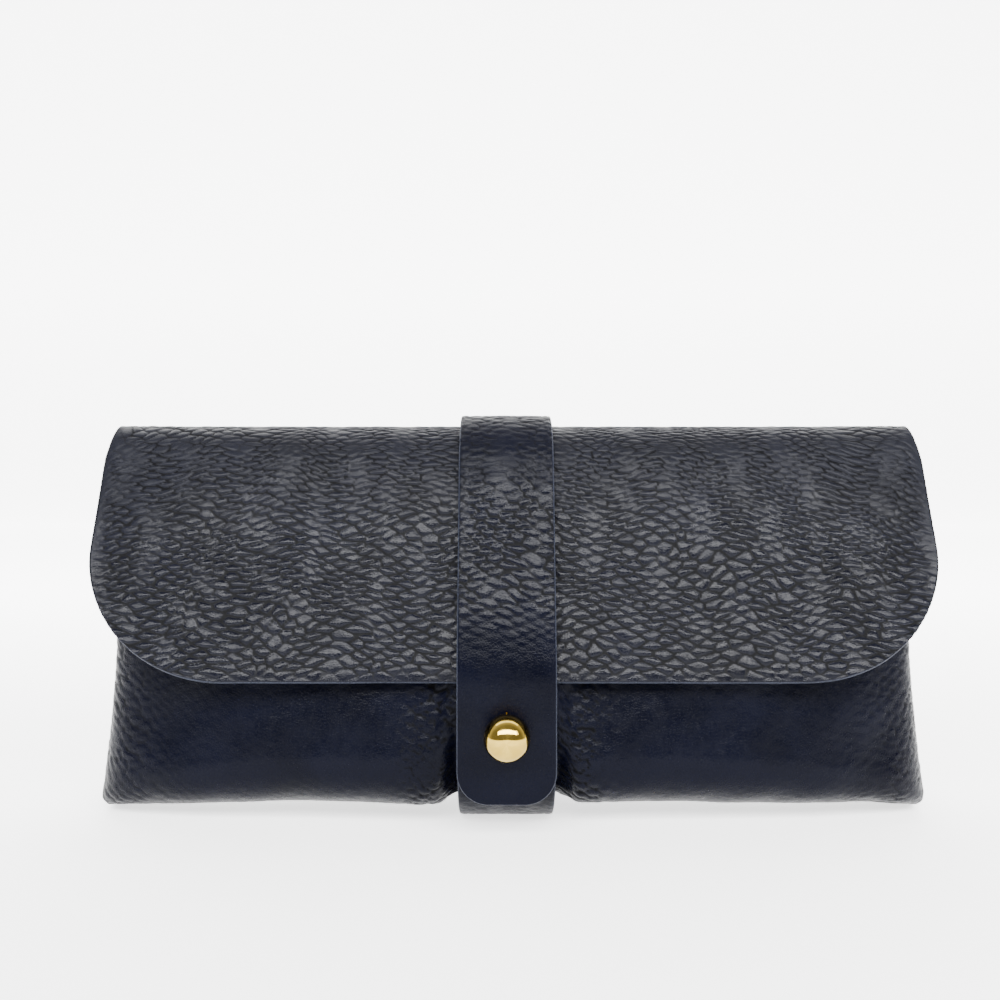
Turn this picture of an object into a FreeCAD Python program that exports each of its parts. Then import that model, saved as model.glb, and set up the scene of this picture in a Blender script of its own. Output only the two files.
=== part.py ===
"""Soft pouch glasses case: a turned leather pouch whose back runs over the top as a flap, held shut by a
leather band that goes all round it and buttons over a ball stud.

Frame: +Z up, +X to the right as seen from the front, -Y towards the front. The origin is on the surface
that the case stands on, under the middle of the pouch. Millimetres and degrees.
"""

import FreeCAD, Part
import math
import os

import Sketcher

doc = FreeCAD.newDocument("glasses_case")

# ---------------------------------------------------------------------------
# Driving dimensions
# ---------------------------------------------------------------------------

DIMENSIONS = [
    ("leather", 1.8, "thickness of the hide and of the band"),
    ("layer_gap", 0.3, "air between two layers that move apart"),
    # the pouch and the flap, seen from the side
    ("fold_top", 83.0, "height of the flap's top fold"),
    ("fold_radius", 13.0, "outside radius of the fold at the middle"),
    ("end_fold_radius", 5.0, "the same at the flap's two ends"),
    ("end_fold_forward", 2.9, "how far forward the fold's centre is there"),
    ("wall_lean", 13.0, "lean of both walls towards the fold"),
    ("end_flap_lean", 19.5, "lean of the flap's front at its two ends"),
    ("bottom_radius", 20.0, "outside radius of the pouch's rounded bottom"),
    ("bottom_rise", 3.6, "how far the bottom arches off the ground at the middle"),
    ("mouth_height", 74.0, "height of the front panel's free edge"),
    ("mouth_depth", 9.7, "outside face of that edge, from the middle plane"),
    # the pouch and the flap, seen from above
    ("seam_gap", 0.6, "room between the two panels along the side seams"),
    ("half_width", 89.7, "middle to side seam, at the ground"),
    ("side_lean", 2.8, "lean of the side seams towards the middle"),
    ("inner_station", 45.0, "first section out from the middle"),
    ("outer_station", 74.0, "second section out from the middle"),
    ("inner_fullness", 0.93, "share of the full depth at the first section"),
    ("outer_fullness", 0.64, "share of the full depth at the second section"),
    ("flap_half_width", 85.6, "middle to the flap's straight ends"),
    ("flap_bottom", 31.6, "height of the flap's lower edge"),
    ("flap_corner", 27.0, "radius of the flap's lower corners"),
    ("shoulder", 45.0, "where the band bends in front of the fold's top, as an angle"),
    ("hinge_gap", 0.6, "slot between the two sides of a bend"),
    # the band
    ("band_width", 19.0, "width of the band"),
    ("band_offset", -1.5, "band's centre line from the middle of the pouch"),
    ("base_half", 8.0, "half of the band's flat run on the ground"),
    ("stub_depth", 22.9, "outside face of the band's buttoned-to end"),
    ("stub_top", 29.5, "height of that end"),
    ("band_lean", 14.75, "lean of the band's front run"),
    ("tab_joint", 36.0, "height where the tab starts, on its outside face"),
    ("tab_depth", 25.6, "outside face of the tab's hanging end"),
    ("tab_bend_radius", 12.0, "outside radius of the turn above that end"),
    ("tab_end", 8.2, "height of the tab's free end"),
    ("tab_corner", 6.0, "radius of the tab's corners"),
    ("button_hole", 4.9, "diameter of the tab's hole"),
    ("button_slit", 4.0, "reach of the slit above the hole, from its centre"),
    ("slit_width", 0.4, "width of the slit"),
    # the stud and its screw
    ("stud_height", 22.0, "height of the stud's axis"),
    ("ball", 8.4, "diameter of the ball"),
    ("ball_reach", 6.8, "ball's centre from the band's buttoned-to end"),
    ("neck", 4.2, "diameter of the neck"),
    ("flange", 9.0, "diameter of the stud's flange"),
    ("flange_thickness", 0.7, "thickness of the flange"),
    ("stud_bore", 2.7, "diameter of the tapped bore"),
    ("bore_depth", 4.5, "depth of the bore"),
    ("screw", 2.6, "diameter of the screw"),
    ("screw_reach", 3.5, "how far the screw goes into the stud"),
    ("screw_hole", 3.2, "hole through the leather for the screw"),
    ("head", 8.0, "diameter of the screw's head"),
    ("head_thickness", 1.1, "thickness of the head"),
    ("head_depth", 18.1, "outer face of the head, from the middle plane"),
    ("driver_slot", 1.0, "width of the screwdriver slot"),
    ("slot_depth", 0.6, "depth of the screwdriver slot"),
    # the threads
    ("thread", 0.5, "diameter of the sewing thread"),
    ("seam_inset", 2.4, "seam thread in from the side seam"),
    ("seam_start", 4.0, "height where the seam thread starts"),
    ("seam_length", 66.0, "length of the seam thread"),
    ("stitch_length", 2.6, "length of one stitch"),
    ("stitch_pitch", 3.6, "spacing of the stitches along a row"),
    ("lower_row", 54.0, "lower row of stitches, up along the back wall"),
    ("row_rise", 8.0, "lower row to upper row"),
]
STITCHES_PER_ROW = 4

sizes = doc.addObject("Spreadsheet::Sheet", "sizes")
for row, (alias, value, meaning) in enumerate(DIMENSIONS, start=1):
    sizes.set(f"A{row}", meaning)
    sizes.set(f"B{row}", str(value))
    sizes.setAlias(f"B{row}", alias)
doc.recompute()


def size(alias):
    """The value of one cell of the sheet."""
    return float(sizes.get(alias))


LEATHER = size("leather")
FOLD_CENTRE = (0.0, size("fold_top") - size("fold_radius"))
BAND_RADIUS = size("fold_radius") + size("layer_gap") + LEATHER

# ---------------------------------------------------------------------------
# Leather profiles in the YZ plane: an outside path of lines and arcs, and the same one thickness in
# ---------------------------------------------------------------------------


def line(start, end):
    return {"kind": "line", "start": start, "end": end}


def arc(centre, radius, first, last):
    """An arc that runs from the angle first to the angle last, in degrees."""
    return {"kind": "arc", "centre": centre, "radius": radius, "first": first, "last": last}


def on_circle(centre, radius, angle):
    turn = math.radians(angle)
    return (centre[0] + radius * math.cos(turn), centre[1] + radius * math.sin(turn))


def ends_of(piece):
    if piece["kind"] == "line":
        return piece["start"], piece["end"]
    return tuple(on_circle(piece["centre"], piece["radius"], piece[key]) for key in ("first", "last"))


def moved_in(piece, side):
    """The piece one thickness further in; side is 1 if the inside is on the path's left, or -1."""
    if piece["kind"] == "arc":
        return arc(piece["centre"], piece["radius"] - LEATHER, piece["first"], piece["last"])
    (y0, z0), (y1, z1) = piece["start"], piece["end"]
    scale = side * LEATHER / math.hypot(y1 - y0, z1 - z0)
    shift_y, shift_z = -scale * (z1 - z0), scale * (y1 - y0)
    return line((y0 + shift_y, z0 + shift_z), (y1 + shift_y, z1 + shift_z))


def tangent_height(angle, centre, radius):
    """How far a circle's tangent, whose normal has this angle, is from the origin."""
    turn = math.radians(angle)
    return centre[0] * math.cos(turn) + centre[1] * math.sin(turn) + radius


# ---------------------------------------------------------------------------
# The hide: panels and flap lofted through sections from one side seam to the other
# ---------------------------------------------------------------------------


def edge_of(piece):
    """The piece as an edge in the plane X = 0."""
    start, end = ends_of(piece)
    if piece["kind"] == "line":
        return Part.makeLine((0, *start), (0, *end))
    middle = on_circle(piece["centre"], piece["radius"], (piece["first"] + piece["last"]) / 2)
    return Part.Arc(*(FreeCAD.Vector(0, *point) for point in (start, middle, end))).toShape()


def leather_wire(path, side, station, lean):
    """The closed outline of the leather along the path, in a plane at X = station that leans inwards."""
    inner = [moved_in(piece, side) for piece in path]
    edges = [edge_of(piece) for piece in path]
    edges.append(Part.makeLine((0, *ends_of(path[-1])[1]), (0, *ends_of(inner[-1])[1])))
    edges += [edge_of(piece) for piece in reversed(inner)]
    edges.append(Part.makeLine((0, *ends_of(inner[0])[0]), (0, *ends_of(path[0])[0])))
    wire = Part.Wire(Part.__sortEdges__(edges))
    turn = FreeCAD.Rotation(FreeCAD.Vector(0, 1, 0), -math.copysign(lean, station))
    wire.Placement = FreeCAD.Placement(FreeCAD.Vector(station, 0, 0), turn)
    return wire


def half_slot(radius):
    """Half of the slot at a bend, as an angle on a fold of this radius."""
    return math.degrees(size("hinge_gap") / 2 / radius)


def stations(half_width, lean):
    """The sections from left to right: X, fullness and lean."""
    right = [
        (size("inner_station"), size("inner_fullness"), 0.0),
        (size("outer_station"), size("outer_fullness"), 0.0),
        (half_width, 0.0, lean),
    ]
    left = [(-station, fullness, tilt) for station, fullness, tilt in reversed(right)]
    return left + [(0.0, 1.0, 0.0)] + right


def between(end, middle, fullness):
    return end + (middle - end) * fullness


def fold_at(fullness):
    """Centre and outside radius of the top fold at one section."""
    radius = between(size("end_fold_radius"), size("fold_radius"), fullness)
    forward = between(size("end_fold_forward"), 0.0, fullness)
    return (-forward, size("fold_top") - radius), radius


def bottom_at(fullness):
    """Height and outside radius of the rounded bottom, and the walls' lean, at one section."""
    radius = between(LEATHER + size("seam_gap") / 4, size("bottom_radius"), fullness)
    return size("bottom_rise") * fullness, radius, size("wall_lean") * fullness


def bottom_depth(reach, low, radius, lean):
    """How far out the bottom's arc is centred, for a wall whose plane is this far from the origin."""
    turn = math.radians(lean)
    return (reach - radius - (low + radius) * math.sin(turn)) / math.cos(turn)


def front_path(fullness):
    """Half of the bottom, the rounded front, and the wall up to the mouth."""
    low, radius, lean = bottom_at(fullness)
    mouth_depth = between(LEATHER + size("seam_gap") / 2, size("mouth_depth"), fullness)
    mouth = (-mouth_depth, size("mouth_height"))
    normal = 180.0 - lean
    depth = bottom_depth(tangent_height(normal, mouth, 0.0), low, radius, lean)
    centre = (-depth, low + radius)
    return [
        line((0.0, low), (-depth, low)),
        arc(centre, radius, 270.0, normal),
        line(on_circle(centre, radius, normal), mouth),
    ]


def back_path(fullness):
    """Half of the bottom, the rounded back, the wall, and the rear half of the top fold."""
    low, radius, lean = bottom_at(fullness)
    fold_centre, fold_radius = fold_at(fullness)
    depth = bottom_depth(tangent_height(lean, fold_centre, fold_radius), low, radius, lean)
    centre = (depth, low + radius)
    bend = 90.0 - half_slot(fold_radius)
    return [
        line((0.0, low), (depth, low)),
        arc(centre, radius, -90.0, lean),
        line(on_circle(centre, radius, lean), on_circle(fold_centre, fold_radius, lean)),
        arc(fold_centre, fold_radius, lean, bend),
    ]


def flap_path(fullness):
    """The front half of the top fold, and down the front to the flap's edge."""
    fold_centre, fold_radius = fold_at(fullness)
    lean = between(size("end_flap_lean"), size("wall_lean"), fullness)
    normal = 180.0 - lean
    bend = 90.0 + half_slot(fold_radius)
    top = on_circle(fold_centre, fold_radius, normal)
    drop = top[1] - size("flap_bottom")
    bottom = (top[0] - drop * math.tan(math.radians(lean)), size("flap_bottom"))
    return [arc(fold_centre, fold_radius, bend, normal), line(top, bottom)]


def loft_leather(path_at, side, half_width, lean):
    sections = [
        leather_wire(path_at(fullness), side, station, tilt)
        for station, fullness, tilt in stations(half_width, lean)
    ]
    return Part.makeLoft(sections, True, False)


def front_rod(diameter, band_x):
    """A rod along Y through the front of the case, on the stud's axis."""
    start = FreeCAD.Vector(band_x, 0, size("stud_height"))
    return Part.makeCylinder(diameter / 2, size("half_width"), start, FreeCAD.Vector(0, -1, 0))


def corner_cutters(half_width, bottom, radius):
    """What lies outside the flap's two rounded lower corners, as blocks along Y."""
    reach = size("half_width")
    cutters = []
    for sign in (-1, 1):
        block = Part.makeBox(2 * radius, reach, 2 * radius)
        block.translate(FreeCAD.Vector(0, -reach, -2 * radius))
        rod = Part.makeCylinder(radius, reach, FreeCAD.Vector(0, -reach, 0), FreeCAD.Vector(0, 1, 0))
        corner = block.cut(rod)
        if sign < 0:
            corner = corner.mirror(FreeCAD.Vector(), FreeCAD.Vector(1, 0, 0))
        corner.translate(FreeCAD.Vector(sign * (half_width - radius), 0, bottom + radius))
        cutters.append(corner)
    return cutters


def hide_part(name, shape):
    feature = doc.addObject("Part::Feature", name)
    feature.Label = name
    feature.Shape = shape
    feature.Placement = FreeCAD.Placement()
    return feature


panel = loft_leather(front_path, -1, size("half_width"), size("side_lean"))
front_panel = hide_part("front_panel", panel.cut(front_rod(size("screw_hole"), size("band_offset"))))
back_panel = hide_part(
    "back_panel", loft_leather(back_path, 1, size("half_width"), size("side_lean"))
)
flap_sheet = loft_leather(flap_path, 1, size("flap_half_width"), 0.0)
flap_outline = corner_cutters(size("flap_half_width"), size("flap_bottom"), size("flap_corner"))
flap = hide_part("flap", flap_sheet.cut(flap_outline))

# ---------------------------------------------------------------------------
# Bodies and sketches
# ---------------------------------------------------------------------------


def new_body(name):
    body = doc.addObject("PartDesign::Body", name)
    body.Label = name
    return body


def new_sketch(body, name, role, **offset):
    """A sketch on one of the body's own origin planes, moved by the expressions for x, y and z."""
    sketch = body.newObject("Sketcher::SketchObject", name)
    plane = next(feature for feature in body.Origin.OriginFeatures if feature.Role == role)
    sketch.AttachmentSupport = (plane, "")
    sketch.MapMode = "FlatFace"
    for axis, expression in offset.items():
        sketch.setExpression(f"AttachmentOffset.Base.{axis}", expression)
    return sketch


def constrain(sketch, *constraint):
    return sketch.addConstraint(Sketcher.Constraint(*constraint))


def dimension(sketch, name, expression, *constraint):
    """Adds a constraint with a value, and ties the value to the sheet."""
    sketch.renameConstraint(constrain(sketch, *constraint), name)
    sketch.setExpression(f"Constraints.{name}", expression)


def locate(sketch, name, geometry, point, across, up, at):
    """Fixes a point from the sketch's origin. across and up are expressions for its distances."""
    tied = (("DistanceX", "across", across, at[0]), ("DistanceY", "up", up, at[1]))
    for kind, letter, expression, value in tied:
        if expression is None:
            continue
        origin, target = (-1, 1), (geometry, point)
        pair = origin + target if value >= 0 else target + origin
        dimension(sketch, f"{name}_{letter}", expression, kind, *pair, abs(value))


def add_piece(sketch, piece):
    """Draws one piece; returns its index and the sketch's numbers for its first and last points."""
    if piece["kind"] == "line":
        start, end = (FreeCAD.Vector(*point, 0) for point in ends_of(piece))
        return sketch.addGeometry(Part.LineSegment(start, end)), 1, 2
    circle = Part.Circle(FreeCAD.Vector(*piece["centre"], 0), FreeCAD.Vector(0, 0, 1), piece["radius"])
    low, high = sorted((math.radians(piece["first"]), math.radians(piece["last"])))
    index = sketch.addGeometry(Part.ArcOfCircle(circle, low, high))
    return (index, 1, 2) if piece["last"] > piece["first"] else (index, 2, 1)


def leather_profile(sketch, path, side):
    """Draws the closed outline of the leather along the path; returns the outside pieces."""
    inner_path = [moved_in(piece, side) for piece in path]
    outer = [add_piece(sketch, piece) for piece in path]
    inner = [add_piece(sketch, piece) for piece in inner_path]
    for chain in (outer, inner):
        for (before, _, end), (after, start, _) in zip(chain, chain[1:]):
            constrain(sketch, "Tangent", before, end, after, start)
    for piece, (outside, _, _), (inside, _, _) in zip(path, outer, inner):
        if piece["kind"] == "line":
            constrain(sketch, "Parallel", outside, inside)
        else:
            constrain(sketch, "Coincident", outside, 3, inside, 3)
    for at, end in ((0, 0), (-1, 1)):
        points = (ends_of(path[at])[end], ends_of(inner_path[at])[end])
        cut = sketch.addGeometry(Part.LineSegment(*(FreeCAD.Vector(*point, 0) for point in points)))
        constrain(sketch, "Coincident", cut, 1, outer[at][0], outer[at][1 + end])
        constrain(sketch, "Coincident", cut, 2, inner[at][0], inner[at][1 + end])
        if path[at]["kind"] == "line":
            constrain(sketch, "Perpendicular", cut, outer[at][0])
        else:
            constrain(sketch, "PointOnObject", outer[at][0], 3, cut)
        if at == 0:
            dimension(sketch, "leather", "sizes.leather", "Distance", cut, LEATHER)
    return outer


def pad_band(body, sketch):
    """Pads a profile to both sides, as wide as the band."""
    pad = body.newObject("PartDesign::Pad", f"{body.Name}_pad")
    pad.Profile = sketch
    pad.SideType = "Symmetric"
    pad.setExpression("Length", "sizes.band_width")
    return pad


def volume_of(feature):
    doc.recompute()
    return feature.Shape.Volume


def pocket_through(body, sketch, before):
    """Cuts a profile right through the body along the sketch's normal, both ways."""
    pocket = body.newObject("PartDesign::Pocket", f"{sketch.Name}_pocket")
    pocket.Profile = sketch
    pocket.Type = "ThroughAll"
    pocket.SideType = "Symmetric"
    if not volume_of(body) < before:
        raise RuntimeError(f"{sketch.Name} cuts nothing")
    return pocket


def rectangle(sketch, low, high):
    """Draws an upright rectangle between two corners; returns its sides, the lowest first."""
    corners = [low, (high[0], low[1]), high, (low[0], high[1])]
    sides = []
    for start, finish in zip(corners, corners[1:] + corners[:1]):
        segment = Part.LineSegment(FreeCAD.Vector(*start, 0), FreeCAD.Vector(*finish, 0))
        sides.append(sketch.addGeometry(segment))
    for side, following in zip(sides, sides[1:] + sides[:1]):
        constrain(sketch, "Coincident", side, 2, following, 1)
    for side, kind in zip(sides, ("Horizontal", "Vertical") * 2):
        constrain(sketch, kind, side)
    return sides


def hole_sketch(body, name, diameter_cell):
    """A circle round the stud's axis, in the XZ plane."""
    sketch = new_sketch(body, name, "XZ_Plane", x="sizes.band_offset", y="sizes.stud_height")
    circle = Part.Circle(FreeCAD.Vector(), FreeCAD.Vector(0, 0, 1), size(diameter_cell) / 2)
    ring = sketch.addGeometry(circle)
    constrain(sketch, "Coincident", ring, 3, -1, 1)
    dimension(sketch, "hole", f"sizes.{diameter_cell}", "Diameter", ring, size(diameter_cell))
    return sketch


# ---------------------------------------------------------------------------
# The band
# ---------------------------------------------------------------------------

FOLD_CENTRE_CELL = "sizes.fold_top - sizes.fold_radius"
BAND_RADIUS_CELL = "(sizes.fold_radius + sizes.layer_gap + sizes.leather)"
HALF_SLOT_CELL = f"(sizes.hinge_gap / 2 / {BAND_RADIUS_CELL} * 180 / pi)"
TOP_SLOT_CELL = f"{BAND_RADIUS_CELL} * sin({HALF_SLOT_CELL})"


def shoulder_cell(sign):
    """Expression for how far in front of the middle plane one side of the shoulder's slot is."""
    return f"{BAND_RADIUS_CELL} * sin(sizes.shoulder {sign} {HALF_SLOT_CELL})"


def band_sketch(body):
    return new_sketch(body, f"{body.Name}_profile", "YZ_Plane", z="sizes.band_offset")


def make_strap_under():
    """The band's buttoned-to end at the front, and its run under the case."""
    body = new_body("strap_under")
    sketch = band_sketch(body)
    half, depth, top = size("base_half"), size("stub_depth"), size("stub_top")
    radius = depth - half
    path = [
        line((-depth, top), (-depth, radius)),
        arc((-half, radius), radius, 180.0, 270.0),
        line((-half, 0.0), (half, 0.0)),
    ]
    (front, _, _), (turn, _, _), (base, _, _) = leather_profile(sketch, path, 1)
    constrain(sketch, "Vertical", front)
    constrain(sketch, "Horizontal", base)
    constrain(sketch, "PointOnObject", base, 2, -1)
    locate(sketch, "top", front, 1, "sizes.stub_depth", "sizes.stub_top", (-depth, top))
    locate(sketch, "front_turn", turn, 3, "sizes.base_half", None, (-half, 0.0))
    locate(sketch, "back_end", base, 2, "sizes.base_half", None, (half, 0.0))
    before = volume_of(pad_band(body, sketch))
    pocket_through(body, hole_sketch(body, "strap_under_hole", "screw_hole"), before)
    return body


def make_strap_back():
    """Up the back of the case, as far as the top line."""
    body = new_body("strap_back")
    sketch = band_sketch(body)
    half, lean = size("base_half"), size("wall_lean")
    turn = math.radians(lean)
    reach = tangent_height(lean, FOLD_CENTRE, BAND_RADIUS)
    radius = (reach - half * math.cos(turn)) / (1 + math.sin(turn))
    centre = (half, radius)
    bend = 90.0 - half_slot(BAND_RADIUS)
    path = [
        arc(centre, radius, -90.0, lean),
        line(on_circle(centre, radius, lean), on_circle(FOLD_CENTRE, BAND_RADIUS, lean)),
        arc(FOLD_CENTRE, BAND_RADIUS, lean, bend),
    ]
    (bottom, _, _), (wall, _, _), (fold, _, _) = leather_profile(sketch, path, 1)
    constrain(sketch, "Vertical", bottom, 1, bottom, 3)
    constrain(sketch, "PointOnObject", bottom, 1, -1)
    locate(sketch, "base", bottom, 1, "sizes.base_half", None, (half, 0.0))
    constrain(sketch, "PointOnObject", fold, 3, -2)
    locate(sketch, "fold", fold, 3, None, FOLD_CENTRE_CELL, FOLD_CENTRE)
    dimension(sketch, "fold_radius", BAND_RADIUS_CELL, "Radius", fold, BAND_RADIUS)
    locate(sketch, "bend", fold, 2, TOP_SLOT_CELL, None, on_circle(FOLD_CENTRE, BAND_RADIUS, bend))
    dimension(
        sketch, "lean", "(90 + sizes.wall_lean) * 1 deg", "Angle", wall, math.radians(90.0 + lean)
    )
    pad_band(body, sketch)
    return body


def make_strap_top():
    """From the top line forward to the shoulder."""
    body = new_body("strap_top")
    sketch = band_sketch(body)
    slot = half_slot(BAND_RADIUS)
    path = [arc(FOLD_CENTRE, BAND_RADIUS, 90.0 + slot, 90.0 + size("shoulder") - slot)]
    ((fold, _, _),) = leather_profile(sketch, path, 1)
    constrain(sketch, "PointOnObject", fold, 3, -2)
    locate(sketch, "fold", fold, 3, None, FOLD_CENTRE_CELL, FOLD_CENTRE)
    dimension(sketch, "fold_radius", BAND_RADIUS_CELL, "Radius", fold, BAND_RADIUS)
    top, shoulder = ends_of(path[0])
    locate(sketch, "top_slot", fold, 1, TOP_SLOT_CELL, None, top)
    locate(sketch, "shoulder_slot", fold, 2, shoulder_cell("-"), None, shoulder)
    pad_band(body, sketch)
    return body


def joint_point():
    """Where the tab starts on the band's outside face."""
    turn = math.radians(size("band_lean"))
    rise = FOLD_CENTRE[1] - size("tab_joint")
    return (-(BAND_RADIUS + rise * math.sin(turn)) / math.cos(turn), size("tab_joint"))


JOINT_CELL = (
    f"({BAND_RADIUS_CELL} + ({FOLD_CENTRE_CELL} - sizes.tab_joint) * sin(sizes.band_lean))"
    " / cos(sizes.band_lean)"
)


def make_strap_front():
    """From the shoulder down to the tab."""
    body = new_body("strap_front")
    sketch = band_sketch(body)
    bend = 90.0 + size("shoulder") + half_slot(BAND_RADIUS)
    normal = 180.0 - size("band_lean")
    path = [
        arc(FOLD_CENTRE, BAND_RADIUS, bend, normal),
        line(on_circle(FOLD_CENTRE, BAND_RADIUS, normal), joint_point()),
    ]
    (fold, _, _), (run, _, _) = leather_profile(sketch, path, 1)
    constrain(sketch, "PointOnObject", fold, 3, -2)
    locate(sketch, "fold", fold, 3, None, FOLD_CENTRE_CELL, FOLD_CENTRE)
    dimension(sketch, "fold_radius", BAND_RADIUS_CELL, "Radius", fold, BAND_RADIUS)
    locate(sketch, "shoulder_slot", fold, 1, shoulder_cell("+"), None, ends_of(path[0])[0])
    locate(sketch, "joint", run, 2, JOINT_CELL, "sizes.tab_joint", joint_point())
    pad_band(body, sketch)
    return body


def tab_bend_centre():
    """Centre of the turn between the leaning run and the hanging end."""
    turn = math.radians(size("band_lean"))
    radius = size("tab_bend_radius")
    across = size("tab_depth") - radius
    reach = tangent_height(180.0 - size("band_lean"), joint_point(), 0.0)
    return (-across, (reach - radius - across * math.cos(turn)) / math.sin(turn))


def make_strap_tab():
    """The band's free end, with the hole and slit that button over the ball."""
    body = new_body("strap_tab")
    sketch = band_sketch(body)
    depth, end, radius = size("tab_depth"), size("tab_end"), size("tab_bend_radius")
    centre = tab_bend_centre()
    normal = 180.0 - size("band_lean")
    path = [
        line(joint_point(), on_circle(centre, radius, normal)),
        arc(centre, radius, normal, 180.0),
        line((-depth, centre[1]), (-depth, end)),
    ]
    (run, _, _), (turn, _, _), (hang, _, _) = leather_profile(sketch, path, 1)
    constrain(sketch, "Vertical", hang)
    locate(sketch, "joint", run, 1, JOINT_CELL, "sizes.tab_joint", joint_point())
    locate(sketch, "end", hang, 2, "sizes.tab_depth", "sizes.tab_end", (-depth, end))
    dimension(sketch, "turn", "sizes.tab_bend_radius", "Radius", turn, radius)
    heading = math.radians(-90.0 - size("band_lean"))
    dimension(sketch, "heading", "-(90 + sizes.band_lean) * 1 deg", "Angle", run, heading)
    before = volume_of(pad_band(body, sketch))
    pocket_through(body, hole_sketch(body, "button_hole_outline", "button_hole"), before)
    before = body.Shape.Volume
    slit = new_sketch(body, "slit_outline", "XZ_Plane", x="sizes.band_offset", y="sizes.stud_height")
    half, reach = size("slit_width") / 2, size("button_slit")
    sides = rectangle(slit, (-half, 0.0), (half, reach))
    constrain(slit, "Symmetric", sides[0], 1, sides[0], 2, -1, 1)
    dimension(slit, "width", "sizes.slit_width", "DistanceX", sides[0], 1, sides[0], 2, 2 * half)
    dimension(slit, "reach", "sizes.button_slit", "DistanceY", sides[1], 1, sides[1], 2, reach)
    pocket_through(body, slit, before)
    corners = [
        f"Edge{index}"
        for index, edge in enumerate(body.Shape.Edges, start=1)
        if edge.BoundBox.ZMax < end + 0.01 and edge.BoundBox.YLength > LEATHER / 2
    ]
    cut_tab = body.Tip
    rounding = body.newObject("PartDesign::Fillet", "tab_rounding")
    rounding.Base = (cut_tab, corners)
    rounding.setExpression("Radius", "sizes.tab_corner")
    return body


# ---------------------------------------------------------------------------
# The stud and its screw: turned about the stud's axis, which runs along Y
# ---------------------------------------------------------------------------


def turned_part(name, outline, dimensions):
    """Revolves an outline about the stud's axis.

    outline holds the corner points (along Y from the middle plane, out from the axis), the last piece
    closing it; a corner may be followed by "ball" for an arc whose centre is on the axis. dimensions
    lists (name, corner, across, up) for the corners that are tied to the sheet."""
    body = new_body(name)
    sketch = new_sketch(
        body, f"{name}_profile", "YZ_Plane", y="sizes.stud_height", z="sizes.band_offset"
    )
    points = [corner for corner in outline if corner != "ball"]
    ball_at = outline.index("ball") - 1 if "ball" in outline else None
    indices = []
    for at, (start, finish) in enumerate(zip(points, points[1:] + points[:1])):
        if at == ball_at:
            centre = (finish[0] + size("ball") / 2, 0.0)
            angle = math.degrees(math.atan2(start[1], start[0] - centre[0]))
            indices.append(add_piece(sketch, arc(centre, size("ball") / 2, angle, 180.0)))
        else:
            indices.append(add_piece(sketch, line(start, finish)))
    for (before, _, end), (after, start, _) in zip(indices, indices[1:] + indices[:1]):
        constrain(sketch, "Coincident", before, end, after, start)
    for at, (start, finish) in enumerate(zip(points, points[1:] + points[:1])):
        if at == ball_at:
            continue
        if start[1] == 0.0 and finish[1] == 0.0:
            constrain(sketch, "PointOnObject", indices[at][0], 1, -1)
            constrain(sketch, "PointOnObject", indices[at][0], 2, -1)
        elif start[1] == finish[1]:
            constrain(sketch, "Horizontal", indices[at][0])
        else:
            constrain(sketch, "Vertical", indices[at][0])
    if ball_at is not None:
        ball = indices[ball_at][0]
        constrain(sketch, "PointOnObject", ball, 3, -1)
        dimension(sketch, "ball_radius", "sizes.ball / 2", "Radius", ball, size("ball") / 2)
    for label, corner, across, up in dimensions:
        index, first, _ = indices[corner]
        locate(sketch, label, index, first, across, up, points[corner])
    turn = body.newObject("PartDesign::Revolution", f"{name}_turning")
    turn.Profile = sketch
    turn.ReferenceAxis = (sketch, ["H_Axis"])
    turn.Angle = 360.0
    return body


def make_stud_post():
    """Flange, neck and ball in one piece, tapped from the flange's side."""
    base = size("stub_depth")
    face = base + size("flange_thickness")
    ball_radius, neck = size("ball") / 2, size("neck") / 2
    centre = base + size("ball_reach")
    neck_end = centre - math.sqrt(ball_radius**2 - neck**2)
    bore, bore_end = size("stud_bore") / 2, base + size("bore_depth")
    flange = size("flange") / 2
    outline = [
        (-base, bore),
        (-base, flange),
        (-face, flange),
        (-face, neck),
        (-neck_end, neck),
        "ball",
        (-centre - ball_radius, 0.0),
        (-bore_end, 0.0),
        (-bore_end, bore),
    ]
    tied = [
        ("bore", 0, "sizes.stub_depth", "sizes.stud_bore / 2"),
        ("flange", 2, "sizes.stub_depth + sizes.flange_thickness", "sizes.flange / 2"),
        ("neck", 4, None, "sizes.neck / 2"),
        ("front", 5, "sizes.stub_depth + sizes.ball_reach + sizes.ball / 2", None),
        ("bore_end", 6, "sizes.stub_depth + sizes.bore_depth", None),
    ]
    return turned_part("stud_post", outline, tied)


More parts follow.
